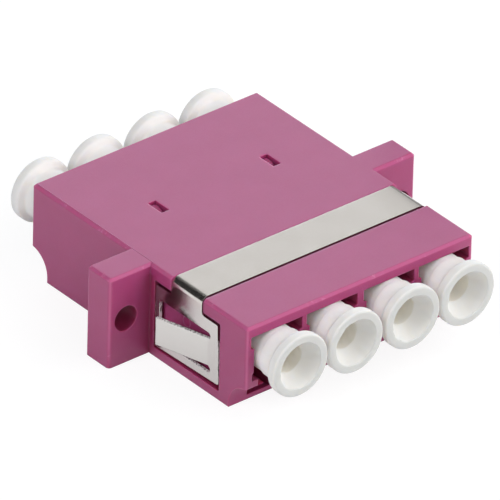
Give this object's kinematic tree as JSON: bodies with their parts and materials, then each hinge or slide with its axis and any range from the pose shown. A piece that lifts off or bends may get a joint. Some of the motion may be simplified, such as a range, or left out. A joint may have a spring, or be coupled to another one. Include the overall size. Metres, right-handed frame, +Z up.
{
  "type": "lc fibre adapter",
  "caption": "Panel-mount fibre adapter that joins rows of LC plugs end to end, with screw ears, a sprung clip and dust caps.",
  "frame": {"origin": "centre of the underside of the housing", "axes": "+X across the row of ports, +Y along the plug axis from the clip end to the plain end, +Z up"},
  "size_m": [0.0346, 0.0368, 0.0092],
  "materials": {
    "violet_plastic": "fine satin moulded thermoplastic, heather violet",
    "spring_steel": "bright rolled stainless strip",
    "zirconia": "ground white ceramic",
    "white_cap_plastic": "soft translucent white polyethylene"
  },
  "bodies": {
    "adapter": {"housing": "violet_plastic", "panel_clip": "spring_steel", "front_carrier_1": "violet_plastic", "front_carrier_2": "violet_plastic", "rear_carrier_1": "violet_plastic", "rear_carrier_2": "violet_plastic", "split_sleeve_1": "zirconia", "split_sleeve_2": "zirconia", "split_sleeve_3": "zirconia", "split_sleeve_4": "zirconia"},
    "front_cap_1": {"front_dust_cap_1": "white_cap_plastic"},
    "front_cap_2": {"front_dust_cap_2": "white_cap_plastic"},
    "front_cap_3": {"front_dust_cap_3": "white_cap_plastic"},
    "front_cap_4": {"front_dust_cap_4": "white_cap_plastic"},
    "rear_cap_1": {"rear_dust_cap_1": "white_cap_plastic"},
    "rear_cap_2": {"rear_dust_cap_2": "white_cap_plastic"},
    "rear_cap_3": {"rear_dust_cap_3": "white_cap_plastic"},
    "rear_cap_4": {"rear_dust_cap_4": "white_cap_plastic"}
  },
  "joints": [
    {"name": "front_cap_1_pull", "type": "slide", "parent": "adapter", "child": "front_cap_1", "axis": [0, -1, 0], "range_m": [0, 0.012]},
    {"name": "front_cap_2_pull", "type": "slide", "parent": "adapter", "child": "front_cap_2", "axis": [0, -1, 0], "range_m": [0, 0.012]},
    {"name": "front_cap_3_pull", "type": "slide", "parent": "adapter", "child": "front_cap_3", "axis": [0, -1, 0], "range_m": [0, 0.012]},
    {"name": "front_cap_4_pull", "type": "slide", "parent": "adapter", "child": "front_cap_4", "axis": [0, -1, 0], "range_m": [0, 0.012]},
    {"name": "rear_cap_1_pull", "type": "slide", "parent": "adapter", "child": "rear_cap_1", "axis": [0, 1, 0], "range_m": [0, 0.012]},
    {"name": "rear_cap_2_pull", "type": "slide", "parent": "adapter", "child": "rear_cap_2", "axis": [0, 1, 0], "range_m": [0, 0.012]},
    {"name": "rear_cap_3_pull", "type": "slide", "parent": "adapter", "child": "rear_cap_3", "axis": [0, 1, 0], "range_m": [0, 0.012]},
    {"name": "rear_cap_4_pull", "type": "slide", "parent": "adapter", "child": "rear_cap_4", "axis": [0, 1, 0], "range_m": [0, 0.012]}
  ]
}
